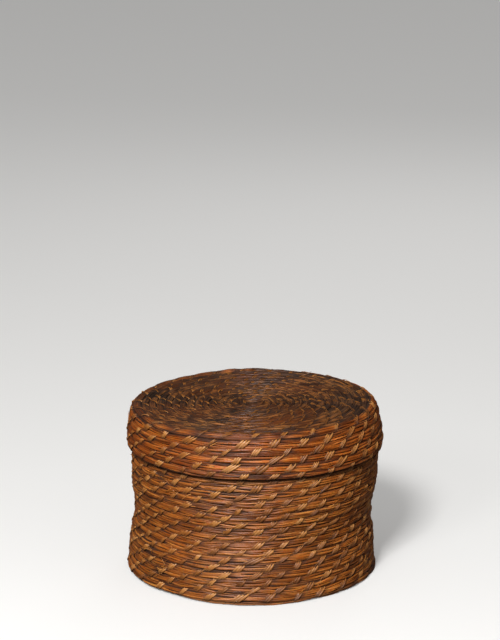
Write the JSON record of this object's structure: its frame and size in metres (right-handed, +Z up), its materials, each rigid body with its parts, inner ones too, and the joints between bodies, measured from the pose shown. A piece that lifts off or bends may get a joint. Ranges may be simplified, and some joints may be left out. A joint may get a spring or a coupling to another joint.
{
  "type": "lidded basket",
  "caption": "Round lidded basket coiled from grass bundles and sewn with slanting stitches; its loose lid slips over an inset collar and lifts off.",
  "frame": {"origin": "middle of the flat underside, on the surface that the basket stands on", "axes": "+Z up through the middle of the lid, -Y towards the picture's viewer, +X to the right"},
  "size_m": [0.1808, 0.1786, 0.1197],
  "materials": {
    "wall_bundle": "dry reddish brown grass stems with a worn satin sheen",
    "lid_bundle": "dry brown grass stems, darker and dustier on the top",
    "hidden_bundle": "dry grass stems that handling and light have reached less",
    "stitch_strand": "flat split grass, paler and glossier than the bundles"
  },
  "bodies": {
    "basket": {"base_coil": "hidden_bundle", "wall_coil": "wall_bundle", "collar_coil": "hidden_bundle", "collar_stitches": "stitch_strand", "collar_ties": "stitch_strand", "wall_stitches_01": "stitch_strand", "wall_stitches_02": "stitch_strand", "wall_stitches_03": "stitch_strand", "wall_stitches_04": "stitch_strand", "wall_stitches_05": "stitch_strand", "wall_stitches_06": "stitch_strand", "wall_stitches_07": "stitch_strand", "wall_stitches_08": "stitch_strand", "wall_stitches_09": "stitch_strand", "wall_stitches_10": "stitch_strand", "wall_stitches_11": "stitch_strand", "wall_stitches_12": "stitch_strand", "wall_stitches_13": "stitch_strand", "wall_stitches_14": "stitch_strand", "wall_stitches_15": "stitch_strand", "wall_stitches_16": "stitch_strand", "wall_stitches_17": "stitch_strand"},
    "lid": {"lid_start_knot": "lid_bundle", "lid_coil": "lid_bundle", "lid_stitches_01": "stitch_strand", "lid_stitches_02": "stitch_strand", "lid_stitches_03": "stitch_strand", "lid_stitches_04": "stitch_strand", "lid_stitches_05": "stitch_strand", "lid_stitches_06": "stitch_strand", "lid_stitches_07": "stitch_strand", "lid_stitches_08": "stitch_strand", "lid_stitches_09": "stitch_strand", "lid_stitches_10": "stitch_strand", "lid_stitches_11": "stitch_strand", "lid_stitches_12": "stitch_strand", "lid_stitches_13": "stitch_strand", "lid_stitches_14": "stitch_strand", "lid_stitches_15": "stitch_strand", "lid_stitches_16": "stitch_strand", "lid_stitches_17": "stitch_strand", "lid_stitches_18": "stitch_strand", "lid_stitches_19": "stitch_strand", "lid_stitches_20": "stitch_strand"}
  },
  "joints": [
    {"name": "lid_lift", "type": "slide", "parent": "basket", "child": "lid", "axis": [0, 0, 1], "range_m": [0, 0.12]}
  ]
}
